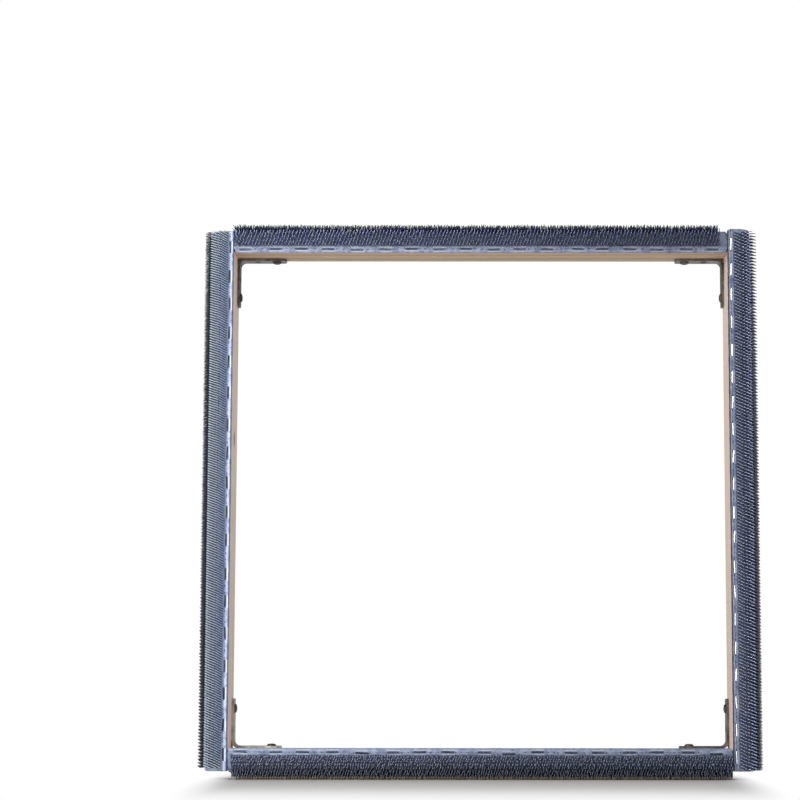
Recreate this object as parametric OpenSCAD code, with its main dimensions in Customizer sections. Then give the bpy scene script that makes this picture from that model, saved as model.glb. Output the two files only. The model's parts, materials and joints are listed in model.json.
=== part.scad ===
// Rug hooking frame: a square of four wooden bars on edge, with a gripper strip on each bar.
// The frame stands upright on its bottom bar. X runs across the opening, Y runs from the wire side to the
// back, and Z runs up. The origin is under the middle of the whole object, at its lowest point.

/* [Wooden frame] */
// Outside length of each side of the square wooden frame
frame_side = 457; // [300:1:600]
// Width of a bar, from the opening to the outside
bar_w = 18; // [17:1:24]
// Depth of a bar, from the front to the back
bar_d = 38; // [32:1:50]
// Radius of the outer front edge, which the strip is bent round
outer_round = 9; // [6:0.5:10]
// Radius of the eased inner front, inner back and outer back edges
edge_ease = 0.8; // [0.4:0.1:1.5]

/* [Strip foundation] */
// Thickness of the woven foundation
cloth_t = 1.5; // [1.2:0.1:2.5]
// Glue line between the foundation and the wood
glue_line = 0.1; // [0.05:0.05:0.3]
// Distance from the bar's inner face to the strip's inner edge
cloth_inset = 0.3; // [0.1:0.1:1]
// Distance from the bar's back face to the strip's rear edge
rear_setback = 1.2; // [0.5:0.1:4]
// Distance that the strips on the rails stop short of the bar's ends
rail_strip_gap = 1; // [0.5:0.1:3]
// Distance that the strips on the stiles stop short of the bar's ends
stile_strip_gap = 0.3; // [0.1:0.1:3]
// Bare margin along the strip's inner edge
front_margin = 5.5; // [4.5:0.1:6]
// Bare margin along the strip's rear edge
rear_margin = 5.5; // [4.5:0.1:8]
// Bare margin at each end of a strip
end_margin = 3; // [1:0.1:8]

/* [Gripper wires] */
// Height of the wires above the foundation
wire_h = 6; // [4:0.1:8]
// How much the wires under the frame are pressed flat on the floor
wire_flat = 0.5; // [0.2:0.1:1]
// Thickness of the foundation's facing, which carries the wires
facing_t = 0.6; // [0.4:0.1:0.8]
// Gap round the facing where it lies in the foundation
facing_gap = 0.05; // [0.02:0.01:0.1]
// Distance between neighbouring wires along the bar
wire_pitch = 26.5; // [22:0.5:40]
// Rows of wires along the flat outer side
side_rows = 3; // [2:1:4]
// Radius of a wire's three-sided root
root_r = 0.75; // [0.4:0.05:0.9]
// Radius of a wire's three-sided tip
tip_r = 0.4; // [0.2:0.05:0.7]
// How far a tip leans outwards, away from the opening
lean_out = 1.6; // [0:0.1:3]
// How far a tip leans along the bar, which is downwards on the right stile
lean_along = 1.8; // [0:0.1:4]

/* [Staples] */
// Length of a staple's crown
crown_len = 10; // [6:0.1:13]
// Width of the flat staple wire
staple_w = 1.3; // [0.8:0.1:1.6]
// Thickness of the flat staple wire
staple_t = 0.5; // [0.3:0.05:0.8]
// Length of a staple's legs
staple_leg = 6; // [4:0.1:6.5]
// Distance between the middles of neighbouring staples
staple_pitch = 25; // [18:0.5:40]
// Distance from the bar's inner face to the middle of the front staples
front_staple_in = 3; // [2:0.1:4]
// Distance from the strip's rear edge to the middle of the rear staples
rear_staple_in = 2.6; // [1.5:0.1:4]
// Gap round a staple's legs in the wood and the foundation
staple_fit = 0.05; // [0.02:0.01:0.15]

/* [Corner braces] */
// Length of each leg of a brace
brace_leg = 42; // [36:1:60]
// Width of a brace
brace_w = 12; // [9:0.5:16]
// Thickness of a brace
brace_t = 2; // [1.5:0.1:3]
// Radius inside a brace's bend
brace_bend = 4.5; // [2:0.5:8]
// Radius of the rounded corners at a leg's end
brace_end_r = 3.5; // [1:0.5:4]
// Distance from the bar's back face to the brace
brace_setback = 0.5; // [0:0.1:4]
// Distance from the corner to the inner hole of a leg
inner_hole_at = 16.5; // [14:0.5:19]
// Distance from the corner to the outer hole of a leg
outer_hole_at = 33.5; // [28:0.5:35]
// Diameter of the holes in a brace
brace_hole_d = 4.2; // [3.8:0.1:5]
// Diameter of a hole's countersink
sink_d = 6.6; // [5.2:0.1:7]
// Depth of a hole's countersink
sink_depth = 1; // [0.4:0.1:1.2]

/* [Brace screws] */
// Diameter of a screw's pan head
head_d = 7.6; // [7.2:0.1:8.5]
// Height of a screw's pan head
head_h = 1.8; // [1.4:0.1:3]
// Diameter of a screw's shank
shank_d = 3.5; // [2.5:0.1:3.6]
// Length of a screw under its head
shank_len = 14; // [10:0.5:16]
// Length of a screw's point
point_len = 3; // [1:0.5:5]
// Width of each slot of the cross recess
recess_w = 0.9; // [0.5:0.1:1.2]
// Length of each slot of the cross recess
recess_len = 4; // [2:0.1:4.4]
// Depth of the cross recess
recess_depth = 1.2; // [0.6:0.1:1.4]
// Gap round a screw's shank in the wood
screw_fit = 0.1; // [0.05:0.05:0.2]
// Gap past a screw's point in the wood
screw_end_gap = 0.5; // [0.2:0.1:1]

/* [Corner dowels] */
// Diameter of a dowel
dowel_d = 6; // [4:0.5:8]
// Depth of a dowel in the stile
dowel_in_stile = 12; // [8:0.5:13]
// Depth of a dowel in the rail
dowel_in_rail = 18; // [12:0.5:24]
// Distance between the two dowels of a joint
dowel_spacing = 18; // [14:0.5:20]
// Chamfer at a dowel's ends
dowel_chamfer = 0.8; // [0.3:0.1:1.2]
// Gap round a dowel
dowel_fit = 0.1; // [0.05:0.05:0.2]
// Gap at a dowel's ends
dowel_end_gap = 0.5; // [0.2:0.1:1]

/* [Hidden] */
$fn = 64;

// Turn about the frame's centre that brings the right-hand bar to each side
RIGHT = 0;
LEFT = 180;
TOP = -90;
BOTTOM = 90;
// Turn about the frame's centre that brings the top right corner to each corner
TOP_RIGHT = 0;
BOTTOM_RIGHT = 90;
BOTTOM_LEFT = 180;
TOP_LEFT = -90;

opening = frame_side - 2 * bar_w;
half_open = opening / 2;
stile_len = frame_side;
rail_len = opening;
stile_strip_len = stile_len - 2 * stile_strip_gap;
rail_strip_len = rail_len - 2 * rail_strip_gap;

// Heights of the foundation's top and of the wires' tips above the wood
cloth_top = glue_line + cloth_t;
stand_off = cloth_top + wire_h;
front_y = stand_off / 2 - bar_d / 2;
centre_z = frame_side / 2 + stand_off - wire_flat;
cut_extra = 1;

// Stations across the wire field, as [x, y] on the strip's cross-section, from the bar's inner front edge
field_start = cloth_inset + front_margin;
field_end = bar_d - rear_setback - rear_margin;
round_x = bar_w - outer_round;
round_y = outer_round;
round_steps = 6;
round_step = 90 / round_steps;
facing_floor = cloth_top - facing_t;

staple_edge = bar_d - rear_setback - rear_staple_in;
bar_mid_y = bar_d / 2;
brace_mid_y = bar_d - brace_setback - brace_w / 2;
bend_out = brace_bend + brace_t;

// Turns the right-hand bar, or the top right corner, to its place in the frame
module place(turn) {
    translate([0, front_y, centre_z]) rotate([0, turn, 0]) children();
}

// The waste outside a quarter circle, for rounding a profile's corner at the origin
module corner_waste(r) {
    difference() {
        translate([-cut_extra, -cut_extra]) square(r + cut_extra);
        translate([r, r]) circle(r);
    }
}

// Cross-section of a bar: its inner face is at x = 0 and its front face is at y = 0
module bar_profile() {
    difference() {
        square([bar_w, bar_d]);
        translate([bar_w, 0]) mirror([1, 0]) corner_waste(outer_round);
        corner_waste(edge_ease);
        translate([0, bar_d]) mirror([0, 1]) corner_waste(edge_ease);
        translate([bar_w, bar_d]) rotate(180) corner_waste(edge_ease);
    }
}

// A layer of the strip, between two heights above the wood, from x = start to y = end
module strip_layer(low, high, start, end) {
    translate([start, -high]) square([round_x - start, high - low]);
    translate([round_x, round_y]) intersection() {
        difference() {
            circle(outer_round + high);
            circle(outer_round + low);
        }
        translate([0, -outer_round - high]) square(outer_round + high);
    }
    translate([bar_w + low, round_y]) square([high - low, end - round_y]);
}

// Spreads staples evenly along a strip
module staple_positions(strip_len) {
    count = round(strip_len / staple_pitch);
    for (i = [0 : count - 1]) translate([0, 0, (i - (count - 1) / 2) * strip_len / count]) children();
}

// One staple leg at z = 0, or its hole with a gap round it. It goes into the strip from the outside.
module staple_leg_bar(gap) {
    thick = staple_t + 2 * gap;
    wide = staple_w + 2 * gap;
    translate([-wide / 2, -staple_t, -thick / 2]) cube([wide, staple_leg + staple_t + gap, thick]);
}

module staple_legs(gap) {
    for (side = [-1, 1]) translate([0, 0, side * (crown_len - staple_t) / 2]) staple_leg_bar(gap);
}

module at_front_staples(strip_len) {
    translate([half_open + front_staple_in, -cloth_top, 0]) staple_positions(strip_len) children();
}

module at_rear_staples(strip_len) {
    translate([half_open + bar_w + cloth_top, staple_edge, 0])
        staple_positions(strip_len) rotate([0, 0, 90]) children();
}

// The places of a joint's two dowels across the bar's depth
module at_dowels() {
    for (side = [-1, 1]) translate([0, bar_mid_y + side * dowel_spacing / 2, 0]) children();
}

// The hole for one end of a dowel. It starts a little outside the wood.
module dowel_bore(depth) {
    cylinder(d = dowel_d + 2 * dowel_fit, h = cut_extra + depth + dowel_end_gap);
}

// The hole for a brace screw, square to the bar's inner face
module screw_bore() {
    rotate([0, 90, 0]) cylinder(d = shank_d + 2 * screw_fit, h = shank_len - brace_t + screw_end_gap);
}

module staple_bores(strip_len) {
    at_front_staples(strip_len) staple_legs(staple_fit);
    at_rear_staples(strip_len) staple_legs(staple_fit);
}

// Wooden bars

module bar_blank(bar_len) {
    translate([half_open, 0, 0]) linear_extrude(bar_len, center = true) bar_profile();
}

module brace_screw_bores() {
    for (side = [-1, 1])
        translate([half_open, brace_mid_y, side * (half_open - outer_hole_at)]) screw_bore();
}

module stile(turn) {
    color("burlywood") place(turn) difference() {
        bar_blank(stile_len);
        staple_bores(stile_strip_len);
        brace_screw_bores();
        for (side = [-1, 1]) translate([half_open - cut_extra, 0, side * (half_open + bar_w / 2)])
            at_dowels() rotate([0, 90, 0]) dowel_bore(dowel_in_stile);
    }
}

module rail(turn) {
    color("burlywood") place(turn) difference() {
        bar_blank(rail_len);
        staple_bores(rail_strip_len);
        brace_screw_bores();
        for (side = [0, 1]) mirror([0, 0, side])
            translate([half_open + bar_w / 2, 0, half_open + cut_extra])
                at_dowels() mirror([0, 0, 1]) dowel_bore(dowel_in_rail);
    }
}

// Gripper strips

module foundation(turn, strip_len) {
    field_len = strip_len - 2 * end_margin;
    color("lightsteelblue") place(turn) difference() {
        translate([half_open, 0, 0]) linear_extrude(strip_len, center = true)
            strip_layer(glue_line, cloth_top, cloth_inset, bar_d - rear_setback);
        translate([half_open, 0, 0]) linear_extrude(field_len + 2 * facing_gap, center = true)
            strip_layer(facing_floor, cloth_top + cut_extra,
                        field_start - facing_gap, field_end + facing_gap);
        staple_bores(strip_len);
    }
}

// The facing's cross-section at a height above the wood, as stations from the front to the back.
// On the round stretch the corners of its flats lie a little outside the true circle, so the flats clear it.
function station(height, j) =
    j == 0 ? [field_start, -height] :
    j <= round_steps + 1 ?
        let (angle = (j - 1) * round_step, r = outer_round + height)
        [round_x + r * sin(angle), round_y - r * cos(angle)] :
    [bar_w + height, round_y + (field_end - round_y) * (j - 1 - round_steps) / side_rows];
function inner_station(j) =
    let (low = facing_floor + facing_gap, bulge = (outer_round + low) / cos(round_step / 2) - outer_round)
    j > 1 && j < round_steps + 1 ? station(bulge, j) : station(low, j);

// Every second flat of the round stretch carries wires, and so does each flat before and after it
function carries_wires(j) = j == 0 || j > round_steps || j % 2 == 0;

// A gripper strip's wires and the facing that they grow from, as one closed surface. The facing is a grid
// of cells, and a wire rises from a three-sided hole in its cell. reach is how far out from the bar's inner
// face the tips may go.
module wire_field(strip_len, reach) {
    field_len = strip_len - 2 * end_margin;
    cells = round(field_len / wire_pitch);
    cell_len = field_len / cells;
    rows = 1 + round_steps + side_rows;
    outer = [for (j = [0 : rows]) station(cloth_top, j)];
    inner = [for (j = [0 : rows]) inner_station(j)];

    function along(i) = -field_len / 2 + i * cell_len;
    function corner(j, i) = i * (rows + 1) + j;
    function under(j, i) = (cells + 1) * (rows + 1) + corner(j, i);
    function wire_at(j, i) = 2 * (cells + 1) * (rows + 1) + 6 * (i * len(wired) + j);
    wired = [for (j = [0 : rows - 1]) if (carries_wires(j)) j];

    // Root and tip of the wire in a cell. across and out are the cell's own directions.
    function wire_points(j, i) =
        let (
            middle = (outer[j] + outer[j + 1]) / 2,
            span = outer[j + 1] - outer[j],
            across = span / norm(span),
            out = [across[1], -across[0]],
            stagger = j % 2 == 0 ? 0.3 : 0.7,
            root = [middle[0], middle[1], along(i) + stagger * cell_len],
            room = out[0] > 0.01 ? (reach - middle[0] - (lean_out + tip_r) * across[0]) / out[0] : wire_h,
            height = min(wire_h, room),
            tilt = across * lean_out + out * height,
            lean = [tilt[0], tilt[1], -lean_along]
        )
        [for (end = [0, 1]) for (k = [0 : 2])
            let (r = end == 0 ? root_r : tip_r, turn = 90 + 120 * k)
            root + end * lean + r * [cos(turn) * across[0], cos(turn) * across[1], sin(turn)]];

    points = concat(
        [for (i = [0 : cells]) for (j = [0 : rows]) [outer[j][0], outer[j][1], along(i)]],
        [for (i = [0 : cells]) for (j = [0 : rows]) [inner[j][0], inner[j][1], along(i)]],
        [for (i = [0 : cells - 1]) for (j = wired) each wire_points(j, i)]
    );

    // a, b, c and d are a cell's corners, and p is its wire's first point
    function bare_cell(a, b, c, d) = [[a, b, c], [a, c, d]];
    function wired_cell(a, b, c, d, p) = [
        [a, b, p + 2], [a, p + 2, p + 1], [b, c, p + 2], [c, p, p + 2],
        [c, d, p], [d, p + 1, p], [d, a, p + 1],
        for (k = [0 : 2]) each bare_cell(p + k, p + (k + 1) % 3, p + 3 + (k + 1) % 3, p + 3 + k),
        [p + 3, p + 4, p + 5]
    ];
    // The facing's outside, its underside, its two long edges and its two ends
    faces = concat(
        [for (i = [0 : cells - 1]) for (j = [0 : rows - 1]) if (!carries_wires(j))
            each bare_cell(corner(j, i), corner(j + 1, i), corner(j + 1, i + 1), corner(j, i + 1))],
        [for (i = [0 : cells - 1]) for (n = [0 : len(wired) - 1]) let (j = wired[n])
            each wired_cell(corner(j, i), corner(j + 1, i), corner(j + 1, i + 1), corner(j, i + 1),
                            wire_at(n, i))],
        [for (i = [0 : cells - 1]) for (j = [0 : rows - 1])
            each bare_cell(under(j + 1, i), under(j, i), under(j, i + 1), under(j + 1, i + 1))],
        [for (i = [0 : cells - 1])
            each bare_cell(under(0, i), corner(0, i), corner(0, i + 1), under(0, i + 1))],
        [for (i = [0 : cells - 1])
            each bare_cell(corner(rows, i), under(rows, i), under(rows, i + 1), corner(rows, i + 1))],
        [for (j = [0 : rows - 1])
            each bare_cell(under(j, 0), under(j + 1, 0), corner(j + 1, 0), corner(j, 0))],
        [for (j = [0 : rows - 1])
            each bare_cell(corner(j, cells), corner(j + 1, cells), under(j + 1, cells), under(j, cells))]
    );
    translate([half_open, 0, 0]) polyhedron(points, [for (f = faces) [f[2], f[1], f[0]]]);
}

module wires(turn, strip_len) {
    reach = bar_w + stand_off - (turn == BOTTOM ? wire_flat : 0);
    color("slategray") place(turn) wire_field(strip_len, reach);
}

// Staples

module staple() {
    staple_legs(0);
    translate([-staple_w / 2, -staple_t, -crown_len / 2]) cube([staple_w, staple_t, crown_len]);
}

module front_staples(turn, strip_len) {
    color("silver") place(turn) at_front_staples(strip_len) staple();
}

module rear_staples(turn, strip_len) {
    color("silver") place(turn) at_rear_staples(strip_len) staple();
}

// Corner braces. The brace is drawn with its corner at the origin and its legs along -X and -Z.

// A leg's flat outline, from the bend's end at x = 0 to its rounded far corners
function leg_outline(leg) = [
    [0, 0],
    for (turn = [-90 : 15 : 0]) [leg, 0] + brace_end_r * [cos(turn) - 1, sin(turn) + 1],
    for (turn = [0 : 15 : 90]) [leg, brace_w] + brace_end_r * [cos(turn) - 1, sin(turn) - 1],
    [0, brace_w]
];

module brace_hole() {
    translate([0, 0, -cut_extra]) cylinder(d = brace_hole_d, h = brace_t + 2 * cut_extra);
    translate([0, 0, brace_t - sink_depth])
        cylinder(d1 = brace_hole_d, d2 = sink_d + (sink_d - brace_hole_d) * cut_extra / sink_depth,
                 h = sink_depth + cut_extra);
}

// One leg, lying on the XY plane along +X from the bend, with its holes
module brace_leg_plate() {
    difference() {
        translate([bend_out, -brace_w / 2, 0]) linear_extrude(brace_t)
            polygon(leg_outline(brace_leg - bend_out));
        for (at = [inner_hole_at, outer_hole_at]) translate([at, 0, 0]) brace_hole();
    }
}

// Puts a leg that lies along +X, with its outer face on the XY plane, on the rail and on the stile
module on_rail_leg() {
    rotate([0, 180, 0]) children();
}

module on_stile_leg() {
    rotate([0, 90, 0]) mirror([0, 0, 1]) children();
}

module brace(turn) {
    color("dimgray") place(turn) translate([half_open, brace_mid_y, half_open]) {
        on_rail_leg() brace_leg_plate();
        on_stile_leg() brace_leg_plate();
        translate([-bend_out, 0, -bend_out]) rotate([90, 0, 0])
            rotate_extrude(angle = 90) translate([brace_bend, -brace_w / 2]) square([brace_t, brace_w]);
    }
}

// Brace screws. A screw is drawn with the underside of its head on the XY plane and its point down.

module screw() {
    difference() {
        rotate_extrude() polygon([
            [0, head_h], [head_d * 0.26, head_h], [head_d * 0.42, head_h * 0.8], [head_d / 2, head_h * 0.4],
            [head_d / 2, 0], [shank_d / 2, 0], [shank_d / 2, point_len - shank_len], [0, -shank_len]
        ]);
        for (turn = [0, 90]) rotate(turn)
            translate([-recess_len / 2, -recess_w / 2, head_h - recess_depth])
                cube([recess_len, recess_w, recess_depth + cut_extra]);
    }
}

module screws(turn) {
    color("gray") place(turn) translate([half_open, brace_mid_y, half_open]) {
        on_rail_leg() translate([outer_hole_at, 0, brace_t]) screw();
        on_stile_leg() translate([outer_hole_at, 0, brace_t]) screw();
    }
}

// Corner dowels. They lie across the joint between a rail's end and a stile's inner face.

module dowel() {
    rotate_extrude() polygon([
        [0, -dowel_in_rail], [dowel_d / 2 - dowel_chamfer, -dowel_in_rail],
        [dowel_d / 2, dowel_chamfer - dowel_in_rail], [dowel_d / 2, dowel_in_stile - dowel_chamfer],
        [dowel_d / 2 - dowel_chamfer, dowel_in_stile], [0, dowel_in_stile]
    ]);
}

module dowels(side_x, side_z) {
    color("tan") translate([side_x * half_open, front_y, centre_z + side_z * (half_open + bar_w / 2)])
        at_dowels() rotate([0, side_x * 90, 0]) dowel();
}

stile(LEFT);  // left_stile
stile(RIGHT);  // right_stile
rail(TOP);  // top_rail
rail(BOTTOM);  // bottom_rail
foundation(LEFT, stile_strip_len);  // left_foundation
foundation(RIGHT, stile_strip_len);  // right_foundation
foundation(TOP, rail_strip_len);  // top_foundation
foundation(BOTTOM, rail_strip_len);  // bottom_foundation
wires(LEFT, stile_strip_len);  // left_wires
wires(RIGHT, stile_strip_len);  // right_wires
wires(TOP, rail_strip_len);  // top_wires
wires(BOTTOM, rail_strip_len);  // bottom_wires
front_staples(LEFT, stile_strip_len);  // left_front_staples
front_staples(RIGHT, stile_strip_len);  // right_front_staples
front_staples(TOP, rail_strip_len);  // top_front_staples
front_staples(BOTTOM, rail_strip_len);  // bottom_front_staples
rear_staples(LEFT, stile_strip_len);  // left_rear_staples
rear_staples(RIGHT, stile_strip_len);  // right_rear_staples
rear_staples(TOP, rail_strip_len);  // top_rear_staples
rear_staples(BOTTOM, rail_strip_len);  // bottom_rear_staples
brace(TOP_LEFT);  // top_left_brace
brace(TOP_RIGHT);  // top_right_brace
brace(BOTTOM_LEFT);  // bottom_left_brace
brace(BOTTOM_RIGHT);  // bottom_right_brace
screws(TOP_LEFT);  // top_left_screws
screws(TOP_RIGHT);  // top_right_screws
screws(BOTTOM_LEFT);  // bottom_left_screws
screws(BOTTOM_RIGHT);  // bottom_right_screws
dowels(-1, 1);  // top_left_dowels
dowels(1, 1);  // top_right_dowels
dowels(-1, -1);  // bottom_left_dowels
dowels(1, -1);  // bottom_right_dowels
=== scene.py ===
# %% [markdown]
# # A rug hooking frame
#
# A rug hooking frame holds a loose backing cloth tight while loops of wool are pulled through it. It is
# a square of four pine bars on edge. Each bar carries a strip of gripper cloth: thousands of fine bent
# wires set through a woven foundation, the same stuff that combs wool. The strip starts at the bar's
# inner front edge, goes over the rounded outer edge and down the outer side. Staples hold it, and a
# steel brace stiffens each corner.
#
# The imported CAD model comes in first. It is the fixed frame: it says where everything is, in metres,
# with +Z up and -Y towards the viewer. What is made below replaces its simple pieces with detailed ones,
# in the same place.

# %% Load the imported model
import json
import math
import random

import bmesh
import bpy
import numpy as np
from mathutils import Matrix, Vector


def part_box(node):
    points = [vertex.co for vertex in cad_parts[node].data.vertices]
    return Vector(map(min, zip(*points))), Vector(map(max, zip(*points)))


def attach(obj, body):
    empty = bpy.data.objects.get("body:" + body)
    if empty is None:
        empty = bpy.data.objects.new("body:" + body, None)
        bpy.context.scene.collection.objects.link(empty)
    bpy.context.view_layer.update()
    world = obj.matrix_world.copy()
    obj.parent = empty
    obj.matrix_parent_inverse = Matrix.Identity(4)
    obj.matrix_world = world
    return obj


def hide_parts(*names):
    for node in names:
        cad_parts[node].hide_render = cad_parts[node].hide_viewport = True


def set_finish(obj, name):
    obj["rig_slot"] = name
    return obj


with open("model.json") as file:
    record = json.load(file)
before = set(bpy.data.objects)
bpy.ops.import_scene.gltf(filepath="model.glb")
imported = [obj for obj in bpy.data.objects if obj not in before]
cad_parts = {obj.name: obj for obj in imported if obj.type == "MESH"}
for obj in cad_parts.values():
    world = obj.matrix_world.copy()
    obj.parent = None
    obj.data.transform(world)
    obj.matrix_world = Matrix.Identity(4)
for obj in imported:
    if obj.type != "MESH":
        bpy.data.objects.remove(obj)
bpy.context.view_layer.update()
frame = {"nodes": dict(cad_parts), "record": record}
MM = 0.001

# %% [markdown]
# ## Measure the bars
#
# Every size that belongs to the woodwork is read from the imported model, so that nothing has to be fitted
# by eye. One bar is enough to describe all four. The right stile stands upright with its inner face
# towards the middle: its box gives the bar's width across the frame, its depth from front to back, and
# its length.

# %% Bar sizes from the CAD boxes
bar_low, bar_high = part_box("right_stile")
rail_low, rail_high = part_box("top_rail")
bar_width = bar_high.x - bar_low.x
bar_depth = bar_high.y - bar_low.y
stile_length = bar_high.z - bar_low.z
rail_length = rail_high.x - rail_low.x
inner_face = bar_low.x
front_y = bar_low.y
centre_z = (bar_low.z + bar_high.z) / 2
print("bar", round(bar_width / MM, 2), "x", round(bar_depth / MM, 2), "mm")
print("stile", round(stile_length / MM, 1), "mm long, rail", round(rail_length / MM, 1), "mm long")

# %% [markdown]
# ## One bar, four places
#
# The four sides of the frame are alike, so each repeated piece is modelled once, on the right-hand bar,
# in that bar's own directions: x runs outwards from the middle of the frame, y runs from the bar's front
# to its back, and z runs along the bar. A quarter turn about the middle of the frame carries the piece
# to the next side. The same turns that the CAD source uses are used here, so both models agree.

# %% The turn that belongs to each side
SIDE_TURNS = {"right": 0, "left": 180, "top": -90, "bottom": 90}


def carry(piece, side):
    """Take a mesh made in the right-hand bar's own directions to its side of the frame."""
    middle = Matrix.Translation((0, front_y, centre_z))
    turn = Matrix.Rotation(math.radians(SIDE_TURNS[side]), 4, "Y")
    piece.data.transform(middle @ turn @ Matrix.Translation((inner_face, 0, 0)))


print("the sides are turned, in degrees:", SIDE_TURNS)

# %% [markdown]
# ## The camera
#
# The photograph was taken from the front, about 1.6 m away and only 80 mm above the floor, well below
# the middle of the frame. The place, the tilt and the lens were worked out from the four inner corners
# of the frame and from the back edges of the wood, which show how fast things shrink with distance. The
# lens is shifted a little, as the picture's frame was cropped after it was taken.

# %% Camera
CAMERA_PLACE = (3.52 * MM, -1594.1 * MM, 80.3 * MM)
CAMERA_TILT = (math.radians(95.498), math.radians(-0.053), math.radians(0.104))
CAMERA_LENS = 84.8
CAMERA_SHIFT = (-0.10125, 0.126875)
camera_data = bpy.data.cameras.new("studio_camera")
camera = bpy.data.objects.new("studio_camera", camera_data)
bpy.context.scene.collection.objects.link(camera)
camera.location = CAMERA_PLACE
camera.rotation_euler = CAMERA_TILT
camera_data.sensor_width = 36
camera_data.lens = CAMERA_LENS
camera_data.shift_x, camera_data.shift_y = CAMERA_SHIFT
camera_data.clip_end = 50
bpy.context.scene.camera = camera
print("camera", round(-CAMERA_PLACE[1], 2), "m in front of the frame's middle plane")

# %% [markdown]
# ## Shader maths as plain expressions
#
# A material is a network of nodes. Wiring dozens of Math nodes by hand hides the idea, so one small
# class wraps a socket and lets it be added and multiplied like a number: each operation quietly adds its
# Math node. Every other kind of node comes from one method that takes the node's type, its settings and
# its sockets' values.

# %% A value that can be reckoned with
class Value:
    """A socket in a material's network, with the usual operators."""

    def __init__(self, maker, socket):
        self.maker = maker
        self.socket = socket

    def _math(self, operation, *others):
        return self.maker.node("ShaderNodeMath", {"operation": operation}, dict(enumerate(others)))

    def __add__(self, other):
        return self._math("ADD", self, other)

    def __radd__(self, other):
        return self._math("ADD", other, self)

    def __sub__(self, other):
        return self._math("SUBTRACT", self, other)

    def __rsub__(self, other):
        return self._math("SUBTRACT", other, self)

    def __mul__(self, other):
        return self._math("MULTIPLY", self, other)

    def __rmul__(self, other):
        return self._math("MULTIPLY", other, self)

    def __truediv__(self, other):
        return self._math("DIVIDE", self, other)

    def __abs__(self):
        return self._math("ABSOLUTE", self)

    def wave(self):
        """The sine of the value."""
        return self._math("SINE", self)

    def most(self, other):
        return self._math("MAXIMUM", self, other)

    def power(self, other):
        return self._math("POWER", self, other)

    def step(self, low, high):
        """0 below low, 1 above high, and a soft climb between them."""
        sockets = {"Value": self, "From Min": low, "From Max": high}
        return self.maker.node("ShaderNodeMapRange", {"interpolation_type": "SMOOTHSTEP"}, sockets)


print("values add, subtract, multiply and divide as nodes")


# %% A material and its network
class Finish:
    """One material, with a Principled shader and short calls for the nodes that feed it."""

    def __init__(self, name):
        self.material = bpy.data.materials.new(name)
        self.material.use_nodes = True
        self.tree = self.material.node_tree
        self.shader = self.tree.nodes["Principled BSDF"]

    def link(self, value, socket):
        if isinstance(value, Value):
            self.tree.links.new(value.socket, socket)
        else:
            socket.default_value = value

    def node(self, kind, settings, sockets, output=0):
        """Add a node, set it up, feed its sockets, and hand back one of its outputs."""
        made = self.tree.nodes.new(kind)
        for key, setting in settings.items():
            setattr(made, key, setting)
        for key, value in sockets.items():
            self.link(value, made.inputs[key])
        return Value(self, made.outputs[output])

    def channel(self, uv_map, number):
        """One number of a map that a mesh carries."""
        spot = self.node("ShaderNodeUVMap", {"uv_map": uv_map}, {})
        return self.node("ShaderNodeSeparateXYZ", {}, {0: spot}, number)

    def axes(self):
        """The object's own x, y and z, in metres."""
        place = self.place()
        return [self.node("ShaderNodeSeparateXYZ", {}, {0: place}, i) for i in range(3)]

    def place(self):
        return self.node("ShaderNodeTexCoord", {}, {}, "Object")

    def stretch(self, vector, scale):
        return self.node("ShaderNodeMapping", {}, {"Vector": vector, "Scale": scale})

    def noise(self, vector, scale, detail, roughness=0.5):
        sockets = {"Vector": vector, "Scale": scale, "Detail": detail, "Roughness": roughness}
        return self.node("ShaderNodeTexNoise", {}, sockets, "Fac")

    def mix(self, factor, first, second):
        """Blend two colours: 0 is the first one and 1 is the second one."""
        return self.node("ShaderNodeMix", {"data_type": "RGBA"}, {0: factor, 6: first, 7: second}, 2)

    def tint(self, colour, factor, amount):
        """Darken or lighten a colour: as factor runs from 0 to 1, from amount[0] to amount[1] times it."""
        low, high = ((share, share, share, 1) for share in amount)
        gain = self.mix(factor, low, high)
        settings = {"data_type": "RGBA", "blend_type": "MULTIPLY"}
        return self.node("ShaderNodeMix", settings, {0: 1.0, 6: colour, 7: gain}, 2)

    def bump(self, height, depth):
        """Raise the surface by height times depth, in metres."""
        return self.node("ShaderNodeBump", {}, {"Height": height, "Distance": depth}, "Normal")

    def set(self, **sockets):
        """Feed the shader's sockets, such as Base_Color."""
        for key, value in sockets.items():
            self.link(value, self.shader.inputs[key.replace("_", " ")])
        return self.material


def srgb(red, green, blue):
    """A colour read as 0 to 255 on a screen, as the light that it stands for."""
    light = []
    for part in (red, green, blue):
        part = part / 255
        light.append(part / 12.92 if part <= 0.04045 else ((part + 0.055) / 1.055) ** 2.4)
    return (*light, 1.0)


print("finishes are ready to be mixed")

# %% [markdown]
# ## Pine
#
# The bars are sanded, bare pine. On a board's long faces the yearly growth shows as long streaks, with
# brown late wood between wide pale early wood, fine short pores along them, and now and then a small
# knot. On the cut ends the same growth shows as curved bands. Both come from one solid pattern of rings:
# a log's heart is placed beside the board, the distance from it gives the rings, and each face cuts
# through them in its own way. The streaks run along a bar, so upright stiles and level rails need the
# pattern turned. No two boards are the same colour: the top rail was cut from a browner one than the
# right stile. Where the bars butt, a dark line is painted on the front faces, part dirt and part painted
# shade.

# %% Pine for the stiles and for the rails
KNOT_WOOD = srgb(88, 44, 34)
JOINT_DIRT_AND_SHADE = srgb(40, 36, 38)
RING_GAP = 4.2 * MM
RING_WANDER = 6.0 * MM
GRAIN_DEPTH = 0.12 * MM
# The scale of streaks and of fibres along the grain, where it is 1 across the grain
STREAK_SCALE = 0.06
FIBRE_SCALE = 0.02
# The square of how much faster a knot fades from front to back than along the bar's face
KNOT_FLATNESS = 9


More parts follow.
